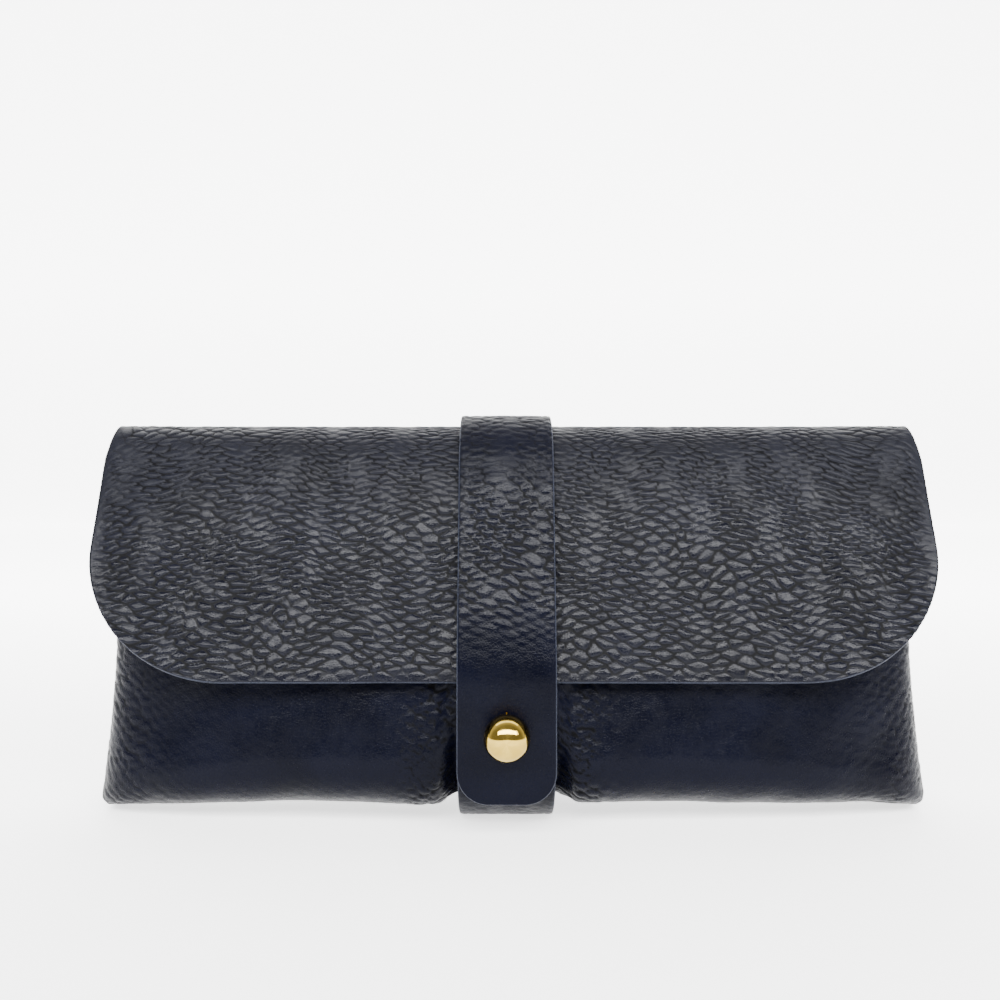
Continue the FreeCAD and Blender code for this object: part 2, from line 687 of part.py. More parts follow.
def make_stud_screw():
    """The screw inside the pouch that holds the band's end and the stud to the front panel."""
    head_out = size("head_depth")
    head_in = head_out - size("head_thickness")
    tip = size("stub_depth") + size("screw_reach")
    shank, head = size("screw") / 2, size("head") / 2
    outline = [
        (-head_in, 0.0),
        (-head_in, head),
        (-head_out, head),
        (-head_out, shank),
        (-tip, shank),
        (-tip, 0.0),
    ]
    tied = [
        ("head_inside", 1, "sizes.head_depth - sizes.head_thickness", "sizes.head / 2"),
        ("head_outside", 3, "sizes.head_depth", "sizes.screw / 2"),
        ("tip", 5, "sizes.stub_depth + sizes.screw_reach", None),
    ]
    body = turned_part("stud_screw", outline, tied)
    before = volume_of(body)
    groove = new_sketch(
        body,
        "driver_slot_outline",
        "XZ_Plane",
        x="sizes.band_offset",
        y="sizes.stud_height",
        z="sizes.head_depth - sizes.head_thickness",
    )
    half_width = size("driver_slot") / 2
    sides = rectangle(groove, (-head, -half_width), (head, half_width))
    constrain(groove, "Symmetric", sides[0], 1, sides[2], 1, -1, 1)
    dimension(groove, "length", "sizes.head", "DistanceX", sides[0], 1, sides[0], 2, 2 * head)
    dimension(
        groove, "width", "sizes.driver_slot", "DistanceY", sides[1], 1, sides[1], 2, 2 * half_width
    )
    slot = body.newObject("PartDesign::Pocket", "driver_slot_pocket")
    slot.Profile = groove
    slot.setExpression("Length", "sizes.slot_depth")
    slot.Reversed = True
    if not volume_of(body) < before:
        raise RuntimeError("the screwdriver slot cuts nothing")
    return body


# ---------------------------------------------------------------------------
# The threads
# ---------------------------------------------------------------------------


def make_seam_thread(name, sign):
    """The line of thread inside one side seam."""
    thread = doc.addObject("Part::Cylinder", name)
    thread.Label = name
    thread.setExpression("Radius", "sizes.thread / 2")
    thread.setExpression("Height", "sizes.seam_length")
    turn = FreeCAD.Rotation(FreeCAD.Vector(0, -sign, 0), size("side_lean"))
    thread.Placement = FreeCAD.Placement(FreeCAD.Vector(), turn)
    thread.setExpression("Placement.Rotation.Angle", "sizes.side_lean")
    inset = "sizes.half_width - sizes.seam_inset - sizes.seam_start * tan(sizes.side_lean)"
    thread.setExpression("Placement.Base.x", f"{sign} * ({inset})")
    thread.setExpression("Placement.Base.z", "sizes.seam_start")
    return thread


def make_strap_stitching():
    """Two rows of stitches that hold the band to the back wall."""
    reach = f"(sin(sizes.wall_lean) * ({FOLD_CENTRE_CELL}) + {BAND_RADIUS_CELL})"
    stitches = []
    for row in range(2):
        up = f"(sizes.lower_row + {row} * sizes.row_rise)"
        for place in range(STITCHES_PER_ROW):
            stitch = doc.addObject("Part::Box", f"stitch_{row}_{place}")
            stitch.setExpression("Length", "sizes.stitch_length")
            stitch.setExpression("Width", "sizes.thread")
            stitch.setExpression("Height", "sizes.thread")
            turn = FreeCAD.Rotation(FreeCAD.Vector(1, 0, 0), size("wall_lean"))
            stitch.Placement = FreeCAD.Placement(FreeCAD.Vector(), turn)
            stitch.setExpression("Placement.Rotation.Angle", "sizes.wall_lean")
            step = place - (STITCHES_PER_ROW - 1) / 2
            across = f"sizes.band_offset + {step} * sizes.stitch_pitch - sizes.stitch_length / 2"
            stitch.setExpression("Placement.Base.x", across)
            lean = "sizes.wall_lean"
            stitch.setExpression("Placement.Base.y", f"{reach} * cos({lean}) - {up} * sin({lean})")
            stitch.setExpression("Placement.Base.z", f"{reach} * sin({lean}) + {up} * cos({lean})")
            stitches.append(stitch)
    group = doc.addObject("Part::Compound", "strap_stitching")
    group.Label = "strap_stitching"
    group.Links = stitches
    return group


parts = [
    front_panel,
    back_panel,
    flap,
    make_strap_under(),
    make_strap_back(),
    make_strap_top(),
    make_strap_front(),
    make_strap_tab(),
    make_stud_post(),
    make_stud_screw(),
    make_seam_thread("left_seam_thread", -1),
    make_seam_thread("right_seam_thread", 1),
    make_strap_stitching(),
]
doc.recompute()

for item in doc.Objects:
    if {"Invalid", "Error"} & set(item.State):
        raise RuntimeError(f"{item.Name}: {item.State}")
for part in parts:
    if part.Shape.isNull() or not part.Shape.isValid():
        raise RuntimeError(f"{part.Label} has no valid shape")

os.makedirs("parts", exist_ok=True)
for part in parts:
    part.Shape.exportStep(f"parts/{part.Label}.step")
    box = part.Shape.BoundBox
    print(f"{part.Label}: {part.Shape.Volume:.0f} mm3, {len(part.Shape.Solids)} solid(s)")
    print(f"  X {box.XMin:.1f} to {box.XMax:.1f}, Y {box.YMin:.1f} to {box.YMax:.1f}")
    print(f"  Z {box.ZMin:.1f} to {box.ZMax:.1f}")
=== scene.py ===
import math
import bpy
import numpy as np
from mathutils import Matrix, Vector


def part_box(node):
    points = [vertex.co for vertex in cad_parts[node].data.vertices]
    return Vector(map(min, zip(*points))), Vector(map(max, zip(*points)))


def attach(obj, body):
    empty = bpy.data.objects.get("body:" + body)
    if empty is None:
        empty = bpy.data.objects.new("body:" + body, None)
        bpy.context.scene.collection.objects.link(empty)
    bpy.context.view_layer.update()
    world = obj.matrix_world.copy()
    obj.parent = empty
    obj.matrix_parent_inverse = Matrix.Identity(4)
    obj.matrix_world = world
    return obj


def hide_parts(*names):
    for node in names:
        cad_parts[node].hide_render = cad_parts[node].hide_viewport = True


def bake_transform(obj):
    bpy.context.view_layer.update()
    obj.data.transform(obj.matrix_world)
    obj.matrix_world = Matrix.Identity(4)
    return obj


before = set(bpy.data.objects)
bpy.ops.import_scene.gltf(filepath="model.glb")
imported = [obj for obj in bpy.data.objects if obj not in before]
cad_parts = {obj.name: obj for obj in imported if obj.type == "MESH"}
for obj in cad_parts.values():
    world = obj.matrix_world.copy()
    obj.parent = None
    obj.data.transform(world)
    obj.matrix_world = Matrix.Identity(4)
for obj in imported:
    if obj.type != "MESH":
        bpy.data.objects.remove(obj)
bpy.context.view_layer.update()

# ---------------------------------------------------------------------------
# Sizes in millimetres, measured on the frame's nodes where they have the value
# ---------------------------------------------------------------------------


def box_mm(node):
    """Lowest and highest corner of a node, in millimetres."""
    return tuple(np.array(corner) * 1000.0 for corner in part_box(node))


PANEL_HIGH = box_mm("front_panel")[1]
BACK_HIGH = box_mm("back_panel")[1]
FLAP_LOW, FLAP_HIGH = box_mm("flap")
UNDER_LOW, UNDER_HIGH = box_mm("strap_under")
TAB_LOW, TAB_HIGH = box_mm("strap_tab")
STUD_LOW, STUD_HIGH = box_mm("stud_post")

LEATHER = 1.8
BOTTOM_HALF_WIDTH = PANEL_HIGH[0]
TOP_HALF_WIDTH = FLAP_HIGH[0]
FOLD_TOP = BACK_HIGH[2]
MOUTH_HEIGHT = PANEL_HIGH[2]
FLAP_END = FLAP_LOW[2]
BAND_MIDDLE = (TAB_LOW[0] + TAB_HIGH[0]) / 2
BAND_HALF = (TAB_HIGH[0] - TAB_LOW[0]) / 2
STUD_HEIGHT = (STUD_LOW[2] + STUD_HIGH[2]) / 2

# ---------------------------------------------------------------------------
# Smooth noise and cells, used for the leather's grain
# ---------------------------------------------------------------------------


def waves(x, y, wavelength, seed, count=9):
    """Smooth noise around 0, about -1 to 1, with features of roughly this wavelength."""
    source = np.random.default_rng(seed)
    total = np.zeros(np.broadcast(x, y).shape)
    for _ in range(count):
        heading = source.uniform(0, 2 * math.pi)
        number = 2 * math.pi / (wavelength * source.uniform(0.6, 1.7))
        phase = source.uniform(0, 2 * math.pi)
        total += np.sin(number * (x * math.cos(heading) + y * math.sin(heading)) + phase)
    return total / math.sqrt(count / 2) / 1.6


def ramp(value, low, high):
    """0 below low, 1 above high, smooth between them."""
    t = np.clip((value - low) / (high - low), 0, 1)
    return t * t * (3 - 2 * t)


CELL_TABLE = 128
CELL_JITTER = 0.58


def cells(u, v, seed):
    """How far each point is from its cell's border, and where it is from the cell's own point.

    The cells are the regions nearest to scattered points, one to each unit square."""
    source = np.random.default_rng(seed)
    jitter_u, jitter_v = 0.5 + CELL_JITTER * (source.random((2, CELL_TABLE, CELL_TABLE)) - 0.5)
    column, row = np.floor(u).astype(int), np.floor(v).astype(int)
    first, second = np.full(u.shape, np.inf), np.full(u.shape, np.inf)
    off_u, off_v = np.zeros(u.shape), np.zeros(u.shape)
    for step_u in (-1, 0, 1):
        for step_v in (-1, 0, 1):
            at = (column + step_u) % CELL_TABLE, (row + step_v) % CELL_TABLE
            du = u - (column + step_u + jitter_u[at])
            dv = v - (row + step_v + jitter_v[at])
            distance = np.hypot(du, dv)
            nearest = distance < first
            second = np.where(nearest, first, np.minimum(second, distance))
            first = np.where(nearest, distance, first)
            off_u, off_v = np.where(nearest, du, off_u), np.where(nearest, dv, off_v)
    return second - first, off_u, off_v


PEBBLE_WIDTH, PEBBLE_HEIGHT, CREASE_DEPTH, GRAIN_MIDDLE = 4.6, 0.23, 0.14, 0.05
# The pebbles' rows are closest together just in front of the top line, where s is 0
FOLD_PITCH, MORE_PITCH = 1.65, 0.75
PITCH_STEP = 0.5
PITCH_AT = np.linspace(-220.0, 620.0, 1681)
PITCH = FOLD_PITCH + MORE_PITCH * ramp(PITCH_AT, 12.0, 36.0) + MORE_PITCH * (1 - ramp(PITCH_AT, -14.0, 0.0))
ROWS_UP_TO = np.concatenate([[0.0], np.cumsum(PITCH_STEP / PITCH)[:-1]])


def grain(x, s, strength):
    """Height of the lens-shaped pebbles, in millimetres, and how deep in a crease each point is.

    x runs across the case and s along the leather; the rows droop towards the case's ends."""
    droop = 5.0 * ramp(np.abs(x), 40.0, 95.0) * ramp(s, 0.0, 14.0) * (1 - ramp(s, 26.0, 60.0))
    wx = x + 1.5 * waves(x, s, 26.0, 11) + 0.25 * waves(x, s, 6.0, 12)
    ws = s - droop + 1.1 * waves(x * 0.9, s * 0.6, 18.0, 13) + 0.15 * waves(x, s, 5.0, 14)
    across, rows = wx / PEBBLE_WIDTH, np.interp(ws, PITCH_AT, ROWS_UP_TO)
    gap, off_u, off_v = cells(across + rows, across - rows, 21)
    down = off_u - off_v
    kept = 0.55 + 0.45 * ramp(waves(x, s, 9.0, 17), -0.9, 0.1)
    fine = (1 - ramp(gap, 0.0, 0.25)) * kept
    dome = ramp(gap, -0.12, 0.62) * (1 + 0.80 * np.clip(down, -1, 1))
    height = PEBBLE_HEIGHT * dome * kept - CREASE_DEPTH * fine
    return strength * (height - GRAIN_MIDDLE), np.clip(strength * fine, 0, 1)


# ---------------------------------------------------------------------------
# Paths in the YZ plane, as lists of lines and arcs whose values can be arrays
# ---------------------------------------------------------------------------


def line(y0, z0, y1, z1):
    return {"kind": "line", "values": (y0, z0, y1, z1), "length": np.hypot(y1 - y0, z1 - z0)}


def arc(y, z, radius, first, last):
    """An arc from the angle first to the angle last, in radians."""
    return {"kind": "arc", "values": (y, z, radius, first, last), "length": radius * np.abs(last - first)}


def path_length(path):
    return sum(piece["length"] for piece in path)


def walk(path, distance):
    """The point at a distance along the path."""
    y = z = 0.0
    start = 0.0
    for piece in path:
        length = np.maximum(piece["length"], 1e-9)
        t = (distance - start) / length
        if piece is not path[-1]:
            t = np.minimum(t, 1.0)
        if piece is not path[0]:
            t = np.maximum(t, 0.0)
        if piece["kind"] == "line":
            y0, z0, y1, z1 = piece["values"]
            py, pz = y0 + (y1 - y0) * t, z0 + (z1 - z0) * t
        else:
            cy, cz, radius, first, last = piece["values"]
            turn = first + (last - first) * t
            py, pz = cy + radius * np.cos(turn), cz + radius * np.sin(turn)
        reached = distance >= start
        y, z = np.where(reached, py, y), np.where(reached, pz, z)
        start = start + piece["length"]
    return y, z


# ---------------------------------------------------------------------------
# The hide's section at each place across the case
# ---------------------------------------------------------------------------

# Names that start with END are the values at the side seams, and the others those in the middle
FOLD_RADIUS, END_FOLD_RADIUS = 13.0, 5.0
BACK_BOTTOM_RADIUS, FRONT_BOTTOM_RADIUS, END_BOTTOM_RADIUS = 20.0, 11.0, 1.84
PINCHED_RADIUS = 19.5
BOTTOM_RISE = 4.1
WALL_LEAN, FRONT_LEAN, END_FLAP_LEAN = (math.radians(turn) for turn in (13.0, 10.6, 19.5))
MOUTH_DEPTH, END_MOUTH_DEPTH = 9.7, 2.1
END_FORWARD = 2.9
# The flap's round corners, across the case and up from its edge
CORNER_ACROSS, CORNER_UP = 29.0, 27.0


def between(end, middle, fullness):
    """From the value at the side seams to the value in the middle."""
    return end + (middle - end) * fullness


def fullness_at(u):
    """How full the case is across its width: 1 in the middle and 0 at the side seams."""
    return (1 - np.clip(np.abs(u), 0, 1) ** 2.6) ** 0.42


def width_at(z):
    """Half of the width at a height: drawn in at the fold and at the ground."""
    up = np.clip(z / FOLD_TOP, 0, 1)
    swell = 0.5 * ramp(z, 45.0, 60.0) - 1.3 * ramp(z, 72.0, 83.0) ** 2 - 0.5 * (1 - ramp(z, 30.0, 50.0))
    corner = 1.4 * (1 - ramp(z, 0.0, 5.0)) ** 2
    return TOP_HALF_WIDTH + (BOTTOM_HALF_WIDTH - TOP_HALF_WIDTH) * (1 - up) ** 3 + swell - corner


def fold_at(f):
    """The fold's centre, as y and z, and its radius."""
    radius = between(END_FOLD_RADIUS, FOLD_RADIUS, f)
    return -END_FORWARD * (1 - f), FOLD_TOP - radius, radius


def bottom_at(f, radius, lean):
    """The bottom's height, the radius of its corner and the wall's lean."""
    return BOTTOM_RISE * f, between(END_BOTTOM_RADIUS, radius, f), lean * f


def front_path(f, pinch):
    """From under the middle forward, up the front and to the mouth; the band pinches it rounder."""
    middle_radius = between(FRONT_BOTTOM_RADIUS, PINCHED_RADIUS, pinch)
    low, radius, lean = bottom_at(f, middle_radius, between(FRONT_LEAN, WALL_LEAN, pinch))
    mouth = -between(END_MOUTH_DEPTH, MOUTH_DEPTH, f)
    normal = math.pi - lean
    reach = mouth * np.cos(normal) + MOUTH_HEIGHT * np.sin(normal)
    depth = (reach - radius - (low + radius) * np.sin(lean)) / np.cos(lean)
    up_y, up_z = -depth + radius * np.cos(normal), low + radius + radius * np.sin(normal)
    return [
        line(0.0 * f, low, -depth, low),
        arc(-depth, low + radius, radius, 1.5 * math.pi, normal),
        line(up_y, up_z, mouth, MOUTH_HEIGHT),
    ]


def back_path(f):
    """From the top line back, down the wall, round the bottom and to the middle."""
    low, radius, lean = bottom_at(f, BACK_BOTTOM_RADIUS, WALL_LEAN)
    fold_y, fold_z, fold_radius = fold_at(f)
    reach = fold_y * np.cos(lean) + fold_z * np.sin(lean) + fold_radius
    depth = (reach - radius - (low + radius) * np.sin(lean)) / np.cos(lean)
    top_y, top_z = fold_y + fold_radius * np.cos(lean), fold_z + fold_radius * np.sin(lean)
    end_y, end_z = depth + radius * np.cos(lean), low + radius + radius * np.sin(lean)
    return [
        arc(fold_y, fold_z, fold_radius, math.pi / 2, lean),
        line(top_y, top_z, end_y, end_z),
        arc(depth, low + radius, radius, lean, -math.pi / 2),
        line(depth, low, 0.0 * f, low),
    ]


def flap_path(f):
    """From the top line forward and down the front to the flap's edge."""
    fold_y, fold_z, radius = fold_at(f)
    lean = between(END_FLAP_LEAN, WALL_LEAN, f)
    top_y, top_z = fold_y - radius * np.cos(lean), fold_z + radius * np.sin(lean)
    return [
        arc(fold_y, fold_z, radius, math.pi / 2, math.pi - lean),
        line(top_y, top_z, top_y - (top_z - FLAP_END) * np.tan(lean), FLAP_END + 0.0 * f),
    ]


# ---------------------------------------------------------------------------
# Sheets: closed thin meshes with an outer face, a coarser inner face and a rounded rim
# ---------------------------------------------------------------------------


CORNER_BLOCK = 3


def grid_normals(points):
    """Unit normals of a grid of points, from its rows and columns."""
    across = np.gradient(points, axis=1)
    along = np.gradient(points, axis=0)
    normal = np.cross(along, across)
    starts = (0, slice(0, CORNER_BLOCK), CORNER_BLOCK)
    ends = (-1, slice(-CORNER_BLOCK, None), -CORNER_BLOCK - 1)
    for row, rows, row_near in (starts, ends):
        for column, columns, column_near in (starts, ends):
            # at a rounded corner the rows and columns meet head on and give no normal of their own
            near = normal[row_near, column_near]
            if np.linalg.norm(normal[row, column]) < 0.5 * np.linalg.norm(near):
                normal[rows, columns] = near
    return normal / np.maximum(np.linalg.norm(normal, axis=2, keepdims=True), 1e-12)


def upright(normal, x):
    """Normals that never lean towards the middle, so that no thickness sticks out past a side."""
    normal = normal.copy()
    normal[..., 0] = np.sign(x) * np.maximum(normal[..., 0] * np.sign(x), 0.0)
    return normal / np.maximum(np.linalg.norm(normal, axis=2, keepdims=True), 1e-12)


def mesh_object(name, vertices, faces, materials, face_material, layers, uv, sharp=()):
    """A smooth mesh, made in metres from millimetres."""
    mesh = bpy.data.meshes.new(name)
    mesh.from_pydata((np.asarray(vertices) / 1000.0).tolist(), [], faces)
    for material in materials:
        mesh.materials.append(material)
    mesh.polygons.foreach_set("material_index", np.asarray(face_material, np.int32))
    mesh.polygons.foreach_set("use_smooth", np.ones(len(faces), bool))
    for layer, values in layers.items():
        attribute = mesh.attributes.new(layer, "FLOAT", "POINT")
        attribute.data.foreach_set("value", np.asarray(values, np.float32))
    loops = np.empty(len(mesh.loops), np.int32)
    mesh.loops.foreach_get("vertex_index", loops)
    uv_map = mesh.uv_layers.new(name="UVMap")
    uv_map.data.foreach_set("uv", np.asarray(uv, np.float32)[loops].ravel())
    if len(sharp):
        edges = np.empty(2 * len(mesh.edges), np.int32)
        mesh.edges.foreach_get("vertices", edges)
        marked = np.zeros(len(vertices), bool)
        marked[sharp] = True
        mesh.attributes.new("sharp_edge", "BOOLEAN", "EDGE").data.foreach_set(
            "value", marked[edges].reshape(-1, 2).all(axis=1)
        )
    mesh.update()
    piece = bpy.data.objects.new(name, mesh)
    bpy.context.scene.collection.objects.link(piece)
    return piece


# The rounded cut edge, as depths below the outer face and how far it reaches out there
RIM = ((0.10, 0.10), (0.30, 0.20), (0.65, 0.26), (1.15, 0.26), (1.50, 0.20), (1.70, 0.10))
# The inner face has every fourth of the outer face's rows and columns
INNER_STEP = 4
OUTER, INNER, EDGE = 0, 1, 2
UV_SPAN = 100.0


def around(ids):
    """What a grid holds along its border: the start edge, the right, the end and the left."""
    return np.concatenate([ids[0, :-1], ids[:-1, -1], ids[-1, :0:-1], ids[:0:-1, 0]])


def out_of_border(points, normal):
    """Unit directions out of a closed border, from its points in order and their normals."""
    tangent = np.roll(points, -1, axis=0) - np.roll(points, 1, axis=0)
    outward = np.cross(normal, tangent)
    return outward / np.maximum(np.linalg.norm(outward, axis=1, keepdims=True), 1e-12)


def quads(*corners):
    """Faces from four arrays of ids, one to each corner."""
    return np.stack(corners, -1).reshape(-1, 4).tolist()


def closing_faces(ring, inner_loop):
    """Faces between the rim's last ring and the inner face's coarser border."""
    faces = []
    for part in range(len(inner_loop)):
        first = part * INNER_STEP
        chain = [int(ring[(first + k) % len(ring)]) for k in range(INNER_STEP + 1)]
        faces.append(chain + [int(inner_loop[(part + 1) % len(inner_loop)]), int(inner_loop[part])])
    return faces


def sheet_from_grid(
    name, points, height, across, along, materials, crease, polish, flush=(), zones=None,
):
    """A leather sheet from a grid of points on its outer face, raised by height.

    across and along are its flat coordinates, flush names the edges that meet another piece, and zones
    gives the outer face's material at each point where it has more than one."""
    rows, columns = points.shape[:2]
    normal = upright(grid_normals(points), points[..., 0])
    outer = points + normal * height[..., None]
    coarse = np.ix_(np.arange(0, rows, INNER_STEP), np.arange(0, columns, INNER_STEP))
    inner = (points - LEATHER * normal)[coarse]
    ids = np.arange(rows * columns).reshape(rows, columns)
    inner_ids = ids.size + np.arange(inner[..., 0].size).reshape(inner.shape[:2])

    loop, inner_loop = around(ids), around(inner_ids)
    sides = [columns - 1, rows - 1, columns - 1, rows - 1]
    edge_name = np.repeat(["start", "right", "end", "left"], sides)
    is_flush = np.isin(edge_name, flush) | np.isin(np.roll(edge_name, 1), flush)
    bulge = np.where(is_flush, 0.0, 1.0)
    border, border_normal = around(points), around(normal)
    outward = out_of_border(around(outer), border_normal)
    vertices = [outer.reshape(-1, 3), inner.reshape(-1, 3)]
    rings = [loop]
    count = ids.size + inner_ids.size
    for depth, reach in RIM:
        ring_height = (around(height) * (1 - depth / LEATHER))[:, None]
        ring = border + border_normal * (ring_height - depth) + outward * (reach * bulge)[:, None]
        vertices.append(ring)
        rings.append(count + np.arange(len(loop)))
        count += len(loop)

    faces = quads(ids[:-1, :-1], ids[1:, :-1], ids[1:, 1:], ids[:-1, 1:])
    face_material = [OUTER] * len(faces) if zones is None else zones[:-1, :-1].reshape(-1).tolist()
    inner_faces = quads(inner_ids[:-1, :-1], inner_ids[:-1, 1:], inner_ids[1:, 1:], inner_ids[1:, :-1])
    edge_faces = []
    for above, below in zip(rings[:-1], rings[1:]):
        edge_faces += quads(above, np.roll(above, -1), np.roll(below, -1), below)
    edge_faces += closing_faces(rings[-1], inner_loop)
    faces += inner_faces + edge_faces
    face_material += [INNER] * len(inner_faces) + [EDGE] * len(edge_faces)

    layers = {"crease": np.zeros(count), "polish": np.zeros(count)}
    layers["crease"][:ids.size] = crease.reshape(-1)
    layers["polish"][:ids.size] = polish.reshape(-1)
    flat = np.stack([across, along], -1)
    flat_parts = [flat.reshape(-1, 2), flat[coarse].reshape(-1, 2)]
    flat_parts += [around(flat) + 0.7 * depth for depth, _ in RIM]
    uv = np.concatenate(flat_parts) / UV_SPAN
    on_flush = np.isin(edge_name, flush)
    sharp = np.concatenate([loop[on_flush], np.roll(loop, -1)[on_flush]])
    return mesh_object(
        name, np.concatenate(vertices), faces, materials, face_material, layers, uv, sharp,
    )


# ---------------------------------------------------------------------------
# Materials
# ---------------------------------------------------------------------------


class Shader:
    """A material under construction."""

    def __init__(self, name):
        self.material = bpy.data.materials.new(name)
        self.material.use_nodes = True
        self.nodes = self.material.node_tree.nodes
        self.links = self.material.node_tree.links
        self.base = self.nodes["Principled BSDF"]

    def add(self, kind, **values):
        node = self.nodes.new(kind)
        for key, value in values.items():
            setattr(node, key, value)
        return node

    def link(self, source, output, target, socket):
        self.links.new(source.outputs[output], target.inputs[socket])

    def place(self):
        return self.add("ShaderNodeUVMap", uv_map="UVMap")

    def noise(self, where, scale, detail=3.0, roughness=0.6):
        node = self.add("ShaderNodeTexNoise")
        node.inputs["Scale"].default_value = scale
        node.inputs["Detail"].default_value = detail
        node.inputs["Roughness"].default_value = roughness
        self.link(where, 0, node, "Vector")
        return node

    def pores(self, where, scale):
        node = self.add("ShaderNodeTexVoronoi", feature="DISTANCE_TO_EDGE")
        node.inputs["Scale"].default_value = scale
        self.link(where, 0, node, "Vector")
        return node

    def remap(self, source, output, low, high, to_low=0.0, to_high=1.0):
        node = self.add("ShaderNodeMapRange", interpolation_type="SMOOTHSTEP")
        node.inputs["From Min"].default_value = low
        node.inputs["From Max"].default_value = high
        node.inputs["To Min"].default_value = to_low
        node.inputs["To Max"].default_value = to_high
        self.link(source, output, node, "Value")
        return node

    def mix(self, factor, first, second):
        """A mix of two colours, each given as a colour or as the node that makes it."""
        node = self.add("ShaderNodeMix", data_type="RGBA")
        self.links.new(factor.outputs[0], node.inputs[0])
        for socket, value in ((6, first), (7, second)):
            if isinstance(value, tuple):
                node.inputs[socket].default_value = (*value, 1.0)
            else:
                self.links.new(value.outputs[2 if value.bl_idname == "ShaderNodeMix" else 0],
                               node.inputs[socket])
        return node

    def bump(self, height, output, strength, distance, under=None):
        node = self.add("ShaderNodeBump")
        node.inputs["Strength"].default_value = strength
        node.inputs["Distance"].default_value = distance
        self.link(height, output, node, "Height")
        if under is not None:
            self.link(under, 0, node, "Normal")
        return node


CREASE_ROUGHNESS, UNPOLISHED_ROUGHNESS = 0.45, 0.20


def grained_material(name, roughness, specular):
    """Dyed leather: shiny on the pebbles where it is polished, matt in the creases, with painted shade
    darkening the creases.
    """
    shader = Shader(name)
    where = shader.place()
    crease = shader.add("ShaderNodeAttribute", attribute_name="crease")
    deep = shader.remap(crease, 2, 0.05, 0.60)
    tone = shader.noise(where, 6.0, 4.0)
    dye = shader.mix(shader.remap(tone, 0, 0.3, 0.7), (0.0008, 0.0010, 0.0030), (0.0014, 0.0017, 0.0048))
    # painted shade: the dye is mixed towards near black where the creases are deepest
    colour = shader.mix(deep, dye, (0.0002, 0.0002, 0.0006))
    shader.link(colour, 2, shader.base, "Base Color")
    pore_depth = shader.remap(shader.pores(where, 170.0), 0, 0.0, 0.22)
    fibre = shader.noise(where, 420.0, 2.0)
    pore_bump = shader.bump(pore_depth, 0, 0.22, 0.00008)
    fine_bump = shader.bump(fibre, 0, 0.08, 0.00003, pore_bump)
    shader.link(fine_bump, 0, shader.base, "Normal")
    patches = shader.noise(where, 30.0, 3.0)
    rough = shader.remap(patches, 0, 0.3, 0.7, roughness - 0.05, roughness + 0.06)
    polish = shader.add("ShaderNodeAttribute", attribute_name="polish")
    unpolished = shader.remap(polish, 2, 0.0, 1.0, UNPOLISHED_ROUGHNESS, 0.0)
    dull = shader.add("ShaderNodeMath", operation="ADD")
    shader.link(rough, 0, dull, 0)
    shader.link(unpolished, 0, dull, 1)
    matt = shader.add("ShaderNodeMath", operation="MULTIPLY_ADD")
    shader.link(deep, 0, matt, 0)
    matt.inputs[1].default_value = CREASE_ROUGHNESS
    shader.link(dull, 0, matt, 2)
    shader.link(matt, 0, shader.base, "Roughness")
    shader.base.inputs["Specular IOR Level"].default_value = specular
    return shader.material


def suede_material(name):
    """The flesh side of the hide: matt, with short nap in patches."""
    shader = Shader(name)
    where = shader.place()
    nap = shader.noise(where, 60.0, 4.0, 0.7)
    patch = shader.remap(nap, 0, 0.3, 0.72)
    colour = shader.mix(patch, (0.010, 0.011, 0.018), (0.028, 0.030, 0.044))
    shader.link(colour, 2, shader.base, "Base Color")
    shader.base.inputs["Roughness"].default_value = 0.92
    shader.base.inputs["Sheen Weight"].default_value = 0.12
    shader.base.inputs["Sheen Roughness"].default_value = 0.5
    fibre = shader.noise(where, 500.0, 3.0, 0.75)
    nap_bump = shader.bump(nap, 0, 0.3, 0.0004)
    shader.link(shader.bump(fibre, 0, 0.6, 0.00018, nap_bump), 0, shader.base, "Normal")
    return shader.material


def edge_material(name):
    """The cut edge: dyed, with loose fibre in two shades, lighter than the hide partly for its pale fibre
    and partly as a painted highlight along the edges.
    """
    shader = Shader(name)
    where = shader.place()
    fibre = shader.noise(where, 260.0, 4.0, 0.7)
    amount = shader.remap(fibre, 0, 0.3, 0.75)
    # partly painted highlight: both shades are lifted so that the cut edges show as a light line
    colour = shader.mix(amount, (0.0070, 0.0082, 0.0135), (0.0240, 0.0275, 0.0420))
    shader.link(colour, 2, shader.base, "Base Color")
    shader.base.inputs["Roughness"].default_value = 0.60
    shader.base.inputs["Specular IOR Level"].default_value = 0.12
    shader.link(shader.bump(fibre, 0, 0.5, 0.0002), 0, shader.base, "Normal")
    return shader.material


def brass_material(name):
    """Polished brass with faint turning marks and dulled patches."""
    shader = Shader(name)
    where = shader.place()
    stretch = shader.add("ShaderNodeMapping")
    stretch.inputs["Scale"].default_value = (3.0, 160.0, 1.0)
    shader.link(where, 0, stretch, "Vector")
    marks = shader.noise(stretch, 2.0, 4.0)
    patches = shader.noise(where, 26.0, 3.0)
    tone = shader.remap(patches, 0, 0.35, 0.7)
    colour = shader.mix(tone, (0.40, 0.268, 0.046), (0.47, 0.328, 0.066))
    shader.link(colour, 2, shader.base, "Base Color")
    rough = shader.remap(patches, 0, 0.3, 0.75, 0.07, 0.16)
    shader.link(rough, 0, shader.base, "Roughness")
    shader.base.inputs["Metallic"].default_value = 1.0
    shader.link(shader.bump(marks, 0, 0.10, 0.00003), 0, shader.base, "Normal")
    return shader.material


